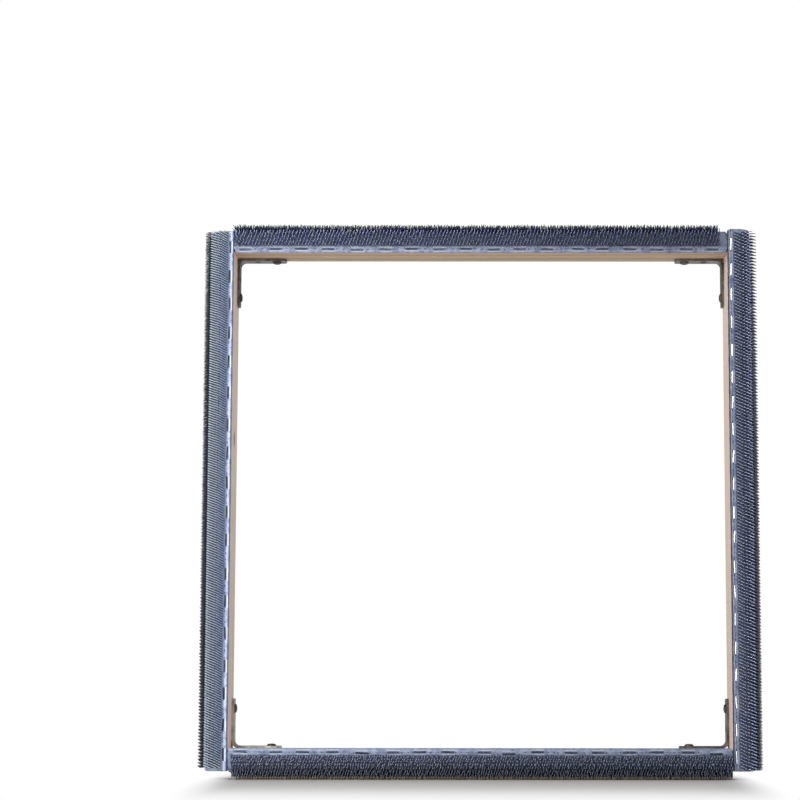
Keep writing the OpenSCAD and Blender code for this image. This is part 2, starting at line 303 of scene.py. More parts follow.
def drawn_out(along, scale):
    """The scale of a pattern that is drawn out along x (0) or along z (2)."""
    return (scale, 1.0, 1.0) if along == 0 else (1.0, 1.0, scale)


def pine(name, along, heart, early_wood, late_wood, knots=()):
    """Pine with its grain along x (0) or z (2), its heart beside the bar, and knots as (x, y, z, size)."""
    wood = Finish(name)
    place = wood.place()
    x, y, z = wood.axes()
    streaks = wood.stretch(place, drawn_out(along, STREAK_SCALE))
    drift = wood.noise(streaks, 30.0, 2.0)
    fine = wood.noise(streaks, 900.0, 3.0, 0.6)
    fibre = wood.noise(wood.stretch(place, drawn_out(along, FIBRE_SCALE)), 2600.0, 2.0, 0.6)
    u = (z if along == 0 else x) - heart[0]
    v = y - heart[1]
    radius = (u * u + v * v).power(0.5)
    rings = ((radius + drift * RING_WANDER) * (2 * math.pi / RING_GAP)).wave()
    late = rings.step(0.25, 1.0)
    colour = wood.mix(late * (0.35 + 0.5 * drift), early_wood, late_wood)
    colour = wood.tint(colour, fine, (0.9, 1.08))
    colour = wood.tint(colour, fibre, (0.93, 1.05))
    soil = wood.noise(place, 14.0, 4.0, 0.6)
    colour = wood.tint(colour, soil, (0.9, 1.06))
    for spot_x, spot_y, spot_z, size in knots:
        beside = x - spot_x
        behind = y - spot_y
        above = z - spot_z
        reach = (beside * beside + behind * behind * KNOT_FLATNESS + above * above).power(0.5)
        dark = 1 - (reach / size).step(0.5, 1.0)
        colour = wood.mix(dark * 0.95, colour, KNOT_WOOD)
    # Dirt and painted shade: a dark line on the front faces where the bars butt.
    at_joint = 1 - (abs(abs(x) - inner_face) / MM).step(0.4, 1.6)
    at_front = 1 - ((y - front_y) / MM).step(0.1, 0.7)
    colour = wood.mix(at_joint * at_front * 0.85, colour, JOINT_DIRT_AND_SHADE)
    rough = 0.62 + fine * 0.16 - late * 0.06
    relief = fine * 0.5 + fibre * 0.35 + late * 0.3
    normal = wood.bump(relief, GRAIN_DEPTH)
    return wood.set(Base_Color=colour, Roughness=rough, Normal=normal, Specular_IOR_Level=0.35)


LEFT_KNOT = (-0.2105, 0.004, 0.2875, 0.0092)
PINES = {
    "left_stile": pine("pine_left", 2, (-0.31, 0.05), srgb(244, 226, 214), srgb(212, 182, 163), [LEFT_KNOT]),
    "right_stile": pine("pine_right", 2, (0.34, -0.07), srgb(224, 205, 191), srgb(202, 172, 151)),
    "top_rail": pine("pine_top", 0, (0.53, 0.03), srgb(204, 177, 153), srgb(166, 130, 100)),
    "bottom_rail": pine("pine_bottom", 0, (-0.12, 0.06), srgb(238, 228, 218), srgb(222, 204, 188)),
}
print("pine for", len(PINES), "bars")

# %% [markdown]
# ## Sizes of the strips
#
# The strips' sizes come next, because both the finish and the shape of the cloth use them. Lengths
# across a strip are counted from the bar's inner face, along the middle of the cloth.

# %% Strip sizes
CLOTH_THICK = 1.5 * MM
GLUE_LINE = 0.1 * MM
CLOTH_INSET = 0.3 * MM
REAR_SETBACK = 1.2 * MM
ROUND_RADIUS = 9.0 * MM
FRONT_MARGIN = 4.5 * MM
REAR_MARGIN = 5.5 * MM
END_GAPS = {"stile": 0.3 * MM, "rail": 1.0 * MM}
STAPLE_PITCH = 25.0 * MM
CROWN_LENGTH = 10.6 * MM

# In these lengths x starts at the bar's inner face and y at its front
round_x = bar_width - ROUND_RADIUS
round_y = ROUND_RADIUS
strip_lengths = {"stile": stile_length - 2 * END_GAPS["stile"], "rail": rail_length - 2 * END_GAPS["rail"]}
front_part = round_x - CLOTH_INSET
side_part = bar_depth - round_y - REAR_SETBACK
middle_radius = ROUND_RADIUS + GLUE_LINE + CLOTH_THICK / 2
flat_width = front_part + middle_radius * math.pi / 2 + side_part
staple_x = (sum(corner.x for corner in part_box("right_front_staples")) / 2) - inner_face
field_start = FRONT_MARGIN + CLOTH_INSET
field_end = flat_width + CLOTH_INSET - REAR_MARGIN
# The lengths without wires at the low and the high end of each strip, in mm along the right-hand bar's z
BARE_ENDS = {"right": (0.3, 2.6), "left": (0.8, 2.5), "top": (6.6, -0.5), "bottom": (2.6, 0.3)}

# How many staples hold each front edge. They were shot by eye, so the strips differ. The rear rows keep to
# STAPLE_PITCH.
FRONT_STAPLES = {"right": 20, "left": 18, "top": 18, "bottom": 17}
# How much nearer to the window than planned each front row of staples was shot, in mm
STAPLES_INWARDS = {"right": 0.6, "left": -0.1, "top": 1.0, "bottom": 0.5}
# How far a row's staples stray, in mm: across from their line and along it. The bottom front row strays most.
STAPLE_STRAY = (0.16, 0.9)
BOTTOM_STAPLE_STRAY = (0.4, 1.7)
# How far the cloth's inner edge is pulled towards the window from its usual inset, in mm
OVERHANG = {"right": 0.0, "left": 0.0, "top": 1.0, "bottom": 1.0}


def kind_of(side):
    return "stile" if side in ("left", "right") else "rail"


# A strip was cut by hand: how much further than planned its low and its high end reach, in mm along the
# right-hand bar's z, and how much further still its outer edge reaches at the high end
HAND_CUT = {
    "right": (0.0, 2.0, 0.0),
    "left": (-0.2, 0.3, 0.0),
    "top": (0.6, 0.6, 0.0),
    "bottom": (0.5, 0.4, 1.6),
}
# The length across the strip over which the skew cut comes to its full reach
SKEW_SPAN = 5 * MM


def strip_ends(side):
    """The low and the high end of a strip, along the bar."""
    half = strip_lengths[kind_of(side)] / 2
    return -half - HAND_CUT[side][0] * MM, half + HAND_CUT[side][1] * MM


def askew(side, across):
    """How much further the high end reaches there because the cut wasn't square."""
    outward = (across - round_x - ROUND_RADIUS) / SKEW_SPAN
    return HAND_CUT[side][2] * MM * max(0.0, min(1.0, outward))


def staple_spots(side, edge="front"):
    """Where the staples' middles lie: across from their line, and along the strip."""
    rng = random.Random(side + edge)
    inwards = STAPLES_INWARDS[side] * MM if edge == "front" else 0.0
    length = strip_lengths[kind_of(side)]
    count = FRONT_STAPLES[side] if edge == "front" else round(length / STAPLE_PITCH)
    middles = [(i + 0.5) * length / count - length / 2 for i in range(count)]
    across, along = BOTTOM_STAPLE_STRAY if (side, edge) == ("bottom", "front") else STAPLE_STRAY
    return [(rng.gauss(0, across) * MM - inwards, middle + rng.gauss(0, along) * MM) for middle in middles]


for kind, length in strip_lengths.items():
    print("strip on a", kind, round(length / MM, 1), "mm long and", round(flat_width / MM, 1), "mm wide")


# %% [markdown]
# ## Foundation cloth
#
# The wires stand in a thick woven cloth, blue like denim: blue threads one way, paler ones the other
# way, in a twill whose fine ridges run aslant. The cloth bends round the bar, so the weave can't be laid
# out in plain x, y and z: each strip carries its own flat map, in metres, of the cloth as it was before
# it was bent. The material reads that map, so a thread goes over the bar's edge without stretching.

# %% Cloth
CLOTH_BLUE = srgb(94, 110, 158)
CLOTH_PALE = srgb(220, 230, 252)
CLOTH_SOIL_AND_SHADE = srgb(44, 50, 72)
PAINTED_SHADE_NAVY = srgb(34, 38, 50)
THREAD = 0.55 * MM
THREADS_A_RIDGE = 2.2
THREAD_DEPTH = 0.2 * MM
# From the frame's left to its right, in mm
ACROSS_FRAME = (-230.0, 230.0)


def foundation_cloth(side, at_edge, at_wires, dark_edge, fade=(1.0, 1.0)):
    """Blue twill that reads the strip's own flat map, and maps of how far edges, wires and staples are.

    at_edge and at_wires tell how much paler or darker the bare margin is made at its two sides, dark_edge
    how dark the painted shadow along its cut edges is, and fade how much the cloth's colour is scaled at
    the frame's left and at its right.
    """
    cloth = Finish(side + "_cloth")
    flat = cloth.node("ShaderNodeUVMap", {"uv_map": "flat_cloth"}, {})
    across, along = (cloth.channel("flat_cloth", i) for i in (0, 1))
    worn = cloth.noise(cloth.place(), 260.0, 4.0, 0.6)
    slub = cloth.noise(cloth.stretch(flat, (9.0, 1.0, 1.0)), 700.0, 2.0)
    per_thread = 2 * math.pi / THREAD
    ridge = ((across + along) * (per_thread / THREADS_A_RIDGE) + slub * 2.0).wave() * 0.5 + 0.5
    warp = (along * per_thread).wave() * 0.5 + 0.5
    weft = (across * per_thread).wave() * 0.5 + 0.5
    pale = ridge.step(0.35, 0.9) * 0.45 + warp * weft * 0.2 + (worn - 0.5) * 1.3 + 0.25
    colour = cloth.mix(pale, CLOTH_BLUE, CLOTH_PALE)
    grime = cloth.noise(cloth.place(), 60.0, 3.0, 0.6).step(0.5, 0.8)
    colour = cloth.mix(grime * 0.35, colour, CLOTH_SOIL_AND_SHADE)
    from_edge, from_wires = (cloth.channel("from_edges", i) / MM for i in (0, 1))
    beside, past = (cloth.channel("from_staples", i) / MM for i in (0, 1))
    # Partly dirt, partly painted shade: the cloth is darkened in broken marks along the crease of each staple
    # line.
    marks = cloth.noise(cloth.stretch(flat, (0.0, 1.0, 1.0)), 330.0, 1.0).step(0.5, 0.62)
    crease = 1 - abs(beside).step(0.15, 0.7)
    colour = cloth.mix(crease * (0.25 + 0.7 * marks), colour, CLOTH_SOIL_AND_SHADE)
    half_crown = CROWN_LENGTH / MM / 2
    held = 1 - past.step(half_crown - 0.3, half_crown + 0.4)
    # Painted shade: a dark line beside each staple, on its inner side, where the crown shades the cloth.
    shade = 1 - abs(beside + 0.85).step(0.15, 0.45)
    # Painted highlight: paler rims on the swelling cloth either side of each staple.
    puff_highlight = 1 - abs(abs(beside) - 1.8).step(0.3, 0.8)
    colour = cloth.mix(held * puff_highlight * 0.7, colour, CLOTH_PALE)
    colour = cloth.mix(held * shade * 0.92, colour, PAINTED_SHADE_NAVY)
    # Painted shadow: a dark line along the cloth's cut edges.
    colour = cloth.mix((1 - from_edge.step(0.25, 0.7)) * dark_edge, colour, PAINTED_SHADE_NAVY)
    # Painted shade: inside the field of wires the cloth is darkened to 0.2 of its colour, where the wires
    # shade it; elsewhere it is scaled by 0.62.
    colour = cloth.tint(colour, from_wires.step(-0.6, 1.0), (0.62, 0.2))
    # The bare margin's colour is scaled across its width, by at_edge at its cut edge and by at_wires beside
    # the field.
    colour = cloth.tint(colour, (across / MM).step(2.4, 4.4), (at_edge, at_wires))
    colour = cloth.tint(colour, (cloth.axes()[0] / MM).step(*ACROSS_FRAME), fade)
    relief = ridge * 0.5 + warp * 0.25 + weft * 0.25
    rough = 0.82 + worn * 0.12
    cloth.set(Base_Color=colour, Roughness=rough, Normal=cloth.bump(relief, THREAD_DEPTH))
    return cloth.set(Specular_IOR_Level=0.25, Sheen_Weight=0.15, Sheen_Roughness=0.5)


CLOTHS = {
    "left": foundation_cloth("left", 2.7, 1.2, 0.75),
    "right": foundation_cloth("right", 1.1, 1.05, 0.85),
    "top": foundation_cloth("top", 1.2, 0.95, 0.1, (1.16, 0.71)),
    "bottom": foundation_cloth("bottom", 1.4, 1.15, 0.3, (1.14, 0.78)),
}
print("cloth, with threads", round(THREAD / MM, 2), "mm apart")

# %% [markdown]
# ## Metals
#
# The gripper wires are hard drawn steel. Dirt and painted shade darken their feet, use has polished their
# points, and a pale dull coat has come over much of them. Each strip's wires are their own copy of the
# steel, paler on the left strip and darker on the top one as light falls on those sides: painted light.
# Near the front, the outer rows carry painted shade and painted highlight. The staples on the right are a
# lit copy of the staple steel, bright with painted highlight, and the others are a dark, shaded copy, and
# finer. The braces are dull plated strip with cloudy wear and fine scratches, one of them a paler, lit copy
# with painted highlight, and the screws have the same plating on a rougher forging. A bare metal's colour
# is its reflection: a dark base colour gives a dark metal, and roughness sets how far the studio's light
# is smeared.

# %% Wire, staple, brace and screw steel
WIRE_FOOT = srgb(24, 32, 78)
FINE_SCRATCH = 0.01 * MM
DEEP_SCRATCH = 0.03 * MM


def gripper_wire(side, dark, bright, bloom, outside, fade=(1.0, 1.0), dirt_and_shade_to=(0.43, 0.77)):
    """Wire steel: dark at its foot with dirt and painted shade, polished by use towards its point, and with
    painted shade and painted highlight on the outer rows near the front.

    bloom tells how much of it is dulled by a pale coat instead of being bare. outside lists the painted
    tones:
    two distances in mm from the wood's outer faces, between which a painted tone comes on near the front, and
    its colour. fade tells how much the wires' colour is scaled at the frame's left and at its right, and
    dirt_and_shade_to between which heights the dirt and painted shade of the foot end.
    """
    metal = Finish(side + "_gripper_wire")
    place = metal.place()
    x, y, z = metal.axes()
    cloudy = metal.noise(place, 500.0, 4.0, 0.6)
    scratch = metal.noise(place, 1500.0, 2.0, 0.7)
    colour = metal.mix(cloudy.step(0.38, 0.62), dark, bright)
    colour = metal.tint(colour, scratch, (0.82, 1.12))
    beyond = (abs(x).most(abs(z - centre_z)) - bar_high.x) / MM
    near = 1 - ((y - front_y) / MM).step(12.0, 24.0)
    # Painted shade and painted highlight, near the front only: the points past the wood's outer faces are
    # darkened, the left strip's outer wires are made pale, the bottom strip's outer wires greyed and its
    # farthest points made warm and pale.
    for begins, ends, painted_tone in outside:
        colour = metal.mix(beyond.step(begins, ends) * near, colour, painted_tone)
    colour = metal.tint(colour, (x / MM).step(*ACROSS_FRAME), fade)
    height = metal.channel("up_the_wire", 0)
    # Dirt and painted shade: the wires darken towards their feet, where they shade one another.
    colour = metal.mix(height.step(*dirt_and_shade_to), WIRE_FOOT, colour)
    roughness = 0.2 + 0.12 * (cloudy * 0.6 + scratch * 0.4)
    normal = metal.bump(scratch, FINE_SCRATCH)
    return metal.set(Base_Color=colour, Roughness=roughness, Metallic=1.0 - bloom, Normal=normal)


def steel(name, dark, bright, rough, grain, relief):
    """A metal that wanders between two colours and two roughnesses, with scratches grain times a metre."""
    metal = Finish(name)
    place = metal.place()
    cloudy = metal.noise(place, 120.0, 4.0, 0.6)
    scratch = metal.noise(place, grain, 2.0, 0.7)
    colour = metal.mix(cloudy.step(0.3, 0.75), dark, bright)
    colour = metal.tint(colour, scratch, (0.82, 1.12))
    roughness = rough[0] + (rough[1] - rough[0]) * (cloudy * 0.6 + scratch * 0.4)
    normal = metal.bump(scratch, relief)
    return metal.set(Base_Color=colour, Roughness=roughness, Metallic=1.0, Normal=normal)


# Painted light: each strip's wires are their own copy of one steel, paler and bluer on the left strip and
# darker on the top one, as light falls on those sides.
WIRE_STEELS = {
    "left": gripper_wire(
        "left", srgb(160, 192, 255), srgb(208, 232, 255), 0.95,
        [(-12.0, -6.5, srgb(228, 242, 255)), (0.7, 1.7, srgb(32, 32, 38))],
        dirt_and_shade_to=(0.34, 0.68),
    ),
    "right": gripper_wire(
        "right", srgb(164, 178, 226), srgb(216, 226, 255), 0.54,
        [(0.5, 2.2, srgb(112, 112, 116))],
    ),
    "top": gripper_wire(
        "top", srgb(126, 144, 206), srgb(200, 214, 255), 0.46,
        [(-0.4, 0.7, srgb(46, 48, 56))],
        fade=(1.12, 0.5),
    ),
    "bottom": gripper_wire(
        "bottom", srgb(158, 172, 214), srgb(216, 226, 255), 0.44,
        [(-5.0, -2.0, srgb(116, 120, 134)), (4.0, 5.5, srgb(232, 214, 198))],
        fade=(1.1, 0.8),
    ),
}
# Two copies of one staple steel: the dark one stands for painted shade and the bright one for painted
# highlight.
staples_shaded_copy = steel(
    "staple_steel", srgb(40, 44, 62), srgb(84, 90, 112), (0.3, 0.46), 2200.0, FINE_SCRATCH,
)
staples_lit_copy = steel(
    "staple_metal_lit", srgb(206, 208, 216), srgb(250, 250, 252), (0.3, 0.46), 2200.0, FINE_SCRATCH,
)
brace_finish = steel("brace_steel", srgb(88, 82, 80), srgb(148, 140, 134), (0.3, 0.5), 1800.0, DEEP_SCRATCH)
# A paler copy of the brace steel, as painted highlight.
brace_lit_copy = steel(
    "brace_metal_lit", srgb(168, 164, 158), srgb(226, 222, 214), (0.4, 0.6), 1800.0, DEEP_SCRATCH,
)
screw_finish = steel("screw_steel", srgb(76, 72, 70), srgb(128, 122, 118), (0.3, 0.5), 2400.0, DEEP_SCRATCH)
print("steel for the wires, the staples, the braces and the screws")

# %% [markdown]
# ## Dowel wood
#
# The dowels in the joints are turned from a close, plain hardwood. They are hidden, but they still get
# their own finish: fine, even grain with small dark pores.

# %% Dowel wood
PORE_DEPTH = 0.04 * MM


def hardwood():
    """Close-grained wood for the dowels."""
    wood = Finish("dowel_wood")
    place = wood.place()
    grain = wood.noise(place, 700.0, 3.0, 0.6)
    pores = wood.noise(place, 3200.0, 2.0, 0.6).step(0.55, 0.75)
    colour = wood.mix(grain, srgb(226, 198, 158), srgb(196, 162, 120))
    colour = wood.mix(pores * 0.4, colour, srgb(150, 116, 82))
    return wood.set(Base_Color=colour, Roughness=0.6 + grain * 0.15, Normal=wood.bump(pores, -PORE_DEPTH))


dowel_finish = hardwood()
print("dowel wood")

# %% [markdown]
# ## Dress the CAD pieces that stay
#
# The bars, the braces, the dowels and the screws have the right shape in the CAD model already: sanded
# edges, a rounded outer front edge, countersunk holes. They only get a finish, and a CAD piece's mesh is
# never touched.

# %% Give the CAD pieces their finishes
def dress(node, material):
    """Swap a CAD piece's material for the detailed one."""
    piece = frame["nodes"][node]
    piece.data.materials.clear()
    piece.data.materials.append(material)
    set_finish(piece, piece.get("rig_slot", SLOT_OF[node]))


CORNERS = ("top_right", "bottom_right", "bottom_left", "top_left")
SLOT_OF = {part["node"]: part["material_slot"] for part in frame["record"]["subparts"]}
for bar, wood in PINES.items():
    dress(bar, wood)
for corner in CORNERS:
    # Painted highlight: the bottom-left brace gets the paler, lit copy of the brace steel.
    dress(corner + "_brace", brace_lit_copy if corner == "bottom_left" else brace_finish)
    dress(corner + "_screws", screw_finish)
    dress(corner + "_dowels", dowel_finish)
print("dressed 4 bars, 4 braces, 8 screws and 8 dowels")

# %% [markdown]
# ## Tools for modelling by hand
#
# The new pieces are modelled as one would by hand: add a simple shape, go into edit mode, select part of
# it, then extrude, spin or scale. Edit operators act on whatever is selected, so selecting by place is
# the one helper that everything leans on.

# %% Selecting, finishing and placing
# Places closer than this count as one
TOUCHING = 0.01 * MM


def fresh(add, name, **options):
    """Deselect everything, add a primitive, and name it."""
    bpy.ops.object.select_all(action="DESELECT")
    add(**options)
    piece = bpy.context.object
    piece.name = name
    piece.data.name = name
    return piece


def pick(kind, passes):
    """In edit mode, select the edges or the faces whose middle passes."""
    bpy.ops.mesh.select_mode(type={"edges": "EDGE", "faces": "FACE"}[kind])
    bpy.ops.mesh.select_all(action="DESELECT")
    shape = bmesh.from_edit_mesh(bpy.context.object.data)
    for part in getattr(shape, kind):
        if passes(sum((corner.co for corner in part.verts), Vector()) / len(part.verts)):
            part.select_set(True)
    bmesh.update_edit_mesh(bpy.context.object.data)


def select_only(piece):
    bpy.ops.object.select_all(action="DESELECT")
    piece.select_set(True)
    bpy.context.view_layer.objects.active = piece


def edit(piece):
    """Make a piece the only selected one and open its mesh."""
    select_only(piece)
    bpy.ops.object.mode_set(mode="EDIT")


def leave():
    bpy.ops.object.mode_set(mode="OBJECT")


def apply_modifier(piece, kind, **settings):
    """Add a modifier, set it, and make it part of the mesh."""
    select_only(piece)
    made = piece.modifiers.new(kind.lower(), kind)
    for key, setting in settings.items():
        setattr(made, key, setting)
    bpy.ops.object.modifier_apply(modifier=made.name)


def triangles_in(mesh):
    return sum(len(face.vertices) - 2 for face in mesh.polygons)


def settle_in(piece, material, *nodes):
    """Give a finished piece its material, hang it on the body, and let it stand for its CAD nodes."""
    piece.data.materials.clear()
    piece.data.materials.append(material)
    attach(piece, "root")
    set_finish(piece, SLOT_OF[nodes[0]])
    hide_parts(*nodes)
    print(piece.name, "has", triangles_in(piece.data), "triangles")


# %% [markdown]
# ## Copies of one model
#
# What repeats is modelled once. Each copy has a matrix that says where it goes, which way it faces and
# how much it is stretched, and all the copies of one kind on one side become a single mesh. A strip has
# thousands of wires, so the points are multiplied in one go with numpy instead of one object at a time.

# %% Stamp a model at many places
def stamp(master, places, name):
    """A new object whose mesh holds one copy of the master for every matrix in places."""
    corners = np.array([(*v.co, 1.0) for v in master.data.vertices])
    faces = [list(face.vertices) for face in master.data.polygons]
    turned = np.einsum("nij,vj->nvi", np.array(places), corners)[:, :, :3]
    points = turned.reshape(-1, 3)
    step = len(corners)
    joined = [[corner + i * step for corner in face] for i in range(len(places)) for face in faces]
    mesh = bpy.data.meshes.new(name)
    mesh.from_pydata(points.tolist(), [], joined)
    mesh.update()
    made = bpy.data.objects.new(name, mesh)
    bpy.context.scene.collection.objects.link(made)
    return made


def lay_out(base, out, along, up):
    """A matrix that stands a model at base with its x, y and z pointing out, along and up."""
    columns = [(*out, 0.0), (*along, 0.0), (*up, 0.0), (*base, 1.0)]
    return [[columns[j][i] for j in range(4)] for i in range(4)]


print("copies are ready")

# %% [markdown]
# ## The foundation strips
#
# Each strip is one piece of cloth, 1.5 mm thick. It lies flat on the bar's front, bends round the outer
# edge and ends a little before the back. A grid makes the flat front part, spinning its outer edge about
# the middle of the wood's round makes the bend, and extruding the last edge backwards makes the side
# part. Solidify then gives the cloth its thickness.
#
# A staple pulls the margin down where it bites, and the cloth swells between two staples. That is done
# by moving the points of the front margin by a small formula, before the thickness goes on.

# %% Model a strip
CLOTH_COLUMNS = 14
CLOTH_STEP = 1.5 * MM
BEND_STEPS = 10
SIDE_STEPS = 8


def flat_place(x, y):
    """How far a point of the strip's section lies from the bar's inner face, measured along the cloth."""
    if y <= round_y and x <= round_x:
        return x
    if y >= round_y:
        return round_x + middle_radius * math.pi / 2 + y - round_y
    return round_x + math.atan2(x - round_x, round_y - y) * middle_radius


def bare_strip(side):
    """The strip's one-sided sheet, in the right-hand bar's directions, from the bar's inner face on."""
    low, high = strip_ends(side)
    length = high - low
    strip = fresh(bpy.ops.mesh.primitive_grid_add, side + "_cloth", x_subdivisions=CLOTH_COLUMNS,
                  y_subdivisions=round(length / CLOTH_STEP), size=1.0)
    edit(strip)
    bpy.ops.mesh.select_all(action="SELECT")
    bpy.ops.transform.resize(value=(front_part, length, 1))
    bpy.ops.transform.rotate(value=math.radians(90), orient_axis="X", center_override=(0, 0, 0))
    bpy.ops.transform.translate(value=(CLOTH_INSET + front_part / 2, -GLUE_LINE, (low + high) / 2))
    pick("edges", lambda middle: abs(middle.x - round_x) < TOUCHING)
    bpy.ops.mesh.spin(steps=BEND_STEPS, angle=-math.pi / 2, center=(round_x, round_y, 0), axis=(0, 0, 1))
    pick("edges", lambda middle: abs(middle.y - round_y) < TOUCHING)
    for _ in range(SIDE_STEPS):
        bpy.ops.mesh.extrude_region_move(TRANSFORM_OT_translate={"value": (0, side_part / SIDE_STEPS, 0)})
    leave()
    return strip


# How high the margin swells between two staples, and how wide its slopes and a staple's pinch are
SWELL = 0.9 * MM
SWELL_SLOPE = 1.2 * MM
PINCH_WIDTH = 1.5 * MM
PINCH_LENGTH = 3.5 * MM
# The lengths at a strip's ends that the fray and the skew cut change
FRAY_LENGTH = 4 * MM
SKEW_LENGTH = 8 * MM
# The cloth's cut edges wander by a random amount at each of these spots
UNEVEN_SPOTS = 400
UNEVEN_STEP = 4 * MM


def bell(distance, width):
    return math.exp(-((distance / width) ** 2))


def swell(strip, side):
    """Let the front margin swell between the staples, and round and fray the cut ends a little."""
    rng = random.Random(side)
    spots = [spot for _, spot in staple_spots(side)]
    low, high = strip_ends(side)
    wander = [rng.uniform(-1, 1) for _ in range(UNEVEN_SPOTS)]
    for vertex in strip.data.vertices:
        x, y, z = vertex.co
        across = flat_place(x, y)
        if y < 0 and x < field_start:
            nearest = min(abs(z - spot) for spot in spots)
            held = 1 - max(0.0, min(1.0, (nearest - CROWN_LENGTH * 0.42) / PINCH_LENGTH))
            pinch = held * bell(x - staple_x, PINCH_WIDTH)
            edges = min(1.0, (x - CLOTH_INSET) / SWELL_SLOPE) * min(1.0, (field_start - x) / SWELL_SLOPE)
            lift = SWELL * edges * (1 - 0.97 * pinch) * (1 - 0.4 * bell(x - staple_x, 0.8 * MM))
            slow = wander[int((z - low) / UNEVEN_STEP) % UNEVEN_SPOTS]
            vertex.co.y -= max(0.0, lift + 0.05 * MM * slow * edges)
            vertex.co.x += 0.12 * MM * slow * bell(x - CLOTH_INSET, 1.0 * MM)
            vertex.co.x -= OVERHANG[side] * MM * max(0.0, 1 - (x - CLOTH_INSET) / (2 * MM))
        from_end = min(z - low, high - z)
        if from_end < FRAY_LENGTH:
            corner = 1.6 * MM * bell(across, 1.6 * MM) + 1.0 * MM * bell(across - round_x - 16 * MM, 5 * MM)
            corner += 0.2 * MM * wander[int(across / (2 * MM)) % UNEVEN_SPOTS]
            vertex.co.z -= math.copysign(corner * (1 - from_end / FRAY_LENGTH), z)
        if high - z < SKEW_LENGTH:
            vertex.co.z += askew(side, across) * (1 - (high - z) / SKEW_LENGTH)


def draw_maps(strip, side):
    """Write the cloth's own maps, in metres: its flat shape, and how far edges, wires and staples are."""
    names = ("flat_cloth", "from_edges", "from_staples")
    maps = {name: strip.data.uv_layers.new(name=name) for name in names}
    low, high = strip_ends(side)
    staples = staple_spots(side)
    for loop in strip.data.loops:
        x, y, z = strip.data.vertices[loop.vertex_index].co
        across = flat_place(x, y)
        top = high + askew(side, across)
        edge = min(across - CLOTH_INSET + OVERHANG[side] * MM, flat_width + CLOTH_INSET - across,
                   z - low, top - z)
        inside = min(across - field_start, field_end - across, z - low - BARE_ENDS[side][0] * MM,
                     top - BARE_ENDS[side][1] * MM - z)
        sway, spot = min(staples, key=lambda staple: abs(z - staple[1]))
        maps["flat_cloth"].data[loop.index].uv = (across, z)
        maps["from_edges"].data[loop.index].uv = (edge, inside)
        maps["from_staples"].data[loop.index].uv = (across - staple_x - sway, abs(z - spot))


def strip_of_cloth(side):
    """Model the foundation of one side, which stands for its CAD node."""
    strip = bare_strip(side)
    swell(strip, side)
    if strip.data.polygons[0].normal.y > 0:
        edit(strip)
        bpy.ops.mesh.select_all(action="SELECT")
        bpy.ops.mesh.flip_normals()
        leave()
    apply_modifier(strip, "SOLIDIFY", thickness=CLOTH_THICK, offset=1.0)
    apply_modifier(strip, "BEVEL", width=0.3 * MM, segments=2, limit_method="ANGLE",
                   angle_limit=math.radians(60))
    draw_maps(strip, side)
    carry(strip, side)
    select_only(strip)
    bpy.ops.object.shade_smooth_by_angle(angle=math.radians(50))
    settle_in(strip, CLOTHS[side], side + "_foundation")


for side in SIDE_TURNS:
    strip_of_cloth(side)

# %% [markdown]
# ## The gripper wires
#
# Each wire is drawn steel, and is modelled 0.72 mm thick, a little thicker than a real one, so that it
# still shows from the camera. It stands up from the cloth, then bends at a knee and leans outwards, so
# that backing cloth pulled tight over it catches on the points and can't slide back. One wire is
# modelled from a small square: extruded along its path, and drawn in towards the point. The strip's
# weave decides where wires stand: rows run along the bar, and each row starts a little further on than
# the last, which makes the slanting lines that the field shows.

# %% Model one wire
WIRE_RADIUS = 0.36 * MM
WIRE_SIDES = 4
WIRE_HEIGHT = 6.0 * MM
# Each step of the path goes out (the way the wire leans), along the bar, and up, and the last number is the
# size of the wire there
WIRE_PATH = [
    (-0.25, 0.00, 2.40, 1.00),
    (0.15, -0.04, 0.50, 1.00),
    (0.90, -0.16, 1.75, 0.95),
    (0.85, -0.36, 1.35, 0.62),
]


def one_wire():
    """The master wire: it stands on the origin, points up z and leans along x."""
    wire = fresh(bpy.ops.mesh.primitive_circle_add, "master_wire", vertices=WIRE_SIDES, radius=WIRE_RADIUS,
                 fill_type="NGON", location=(0, 0, 0))
    edit(wire)
    bpy.ops.mesh.select_all(action="SELECT")
    bpy.ops.mesh.flip_normals()
    for out, along, up, size in WIRE_PATH:
        bpy.ops.mesh.extrude_region_move(TRANSFORM_OT_translate={"value": (out * MM, along * MM, up * MM)})
        bpy.ops.transform.resize(value=(size, size, size))
    bpy.ops.mesh.select_all(action="SELECT")
    bpy.ops.mesh.normals_make_consistent(inside=False)
    leave()
    return wire


wire = one_wire()
wire_rise = round(wire.dimensions.z / MM, 2)
print("one wire has", triangles_in(wire.data), "triangles and is", wire_rise, "mm high")

# %% [markdown]
# The field of wires starts where the front margin ends and stops where the rear margin begins. Near the
# cut ends of a strip some wires were pulled out, which leaves a few millimetres bare.

# %% Where the wires stand
ROW_GAP = 1.85 * MM
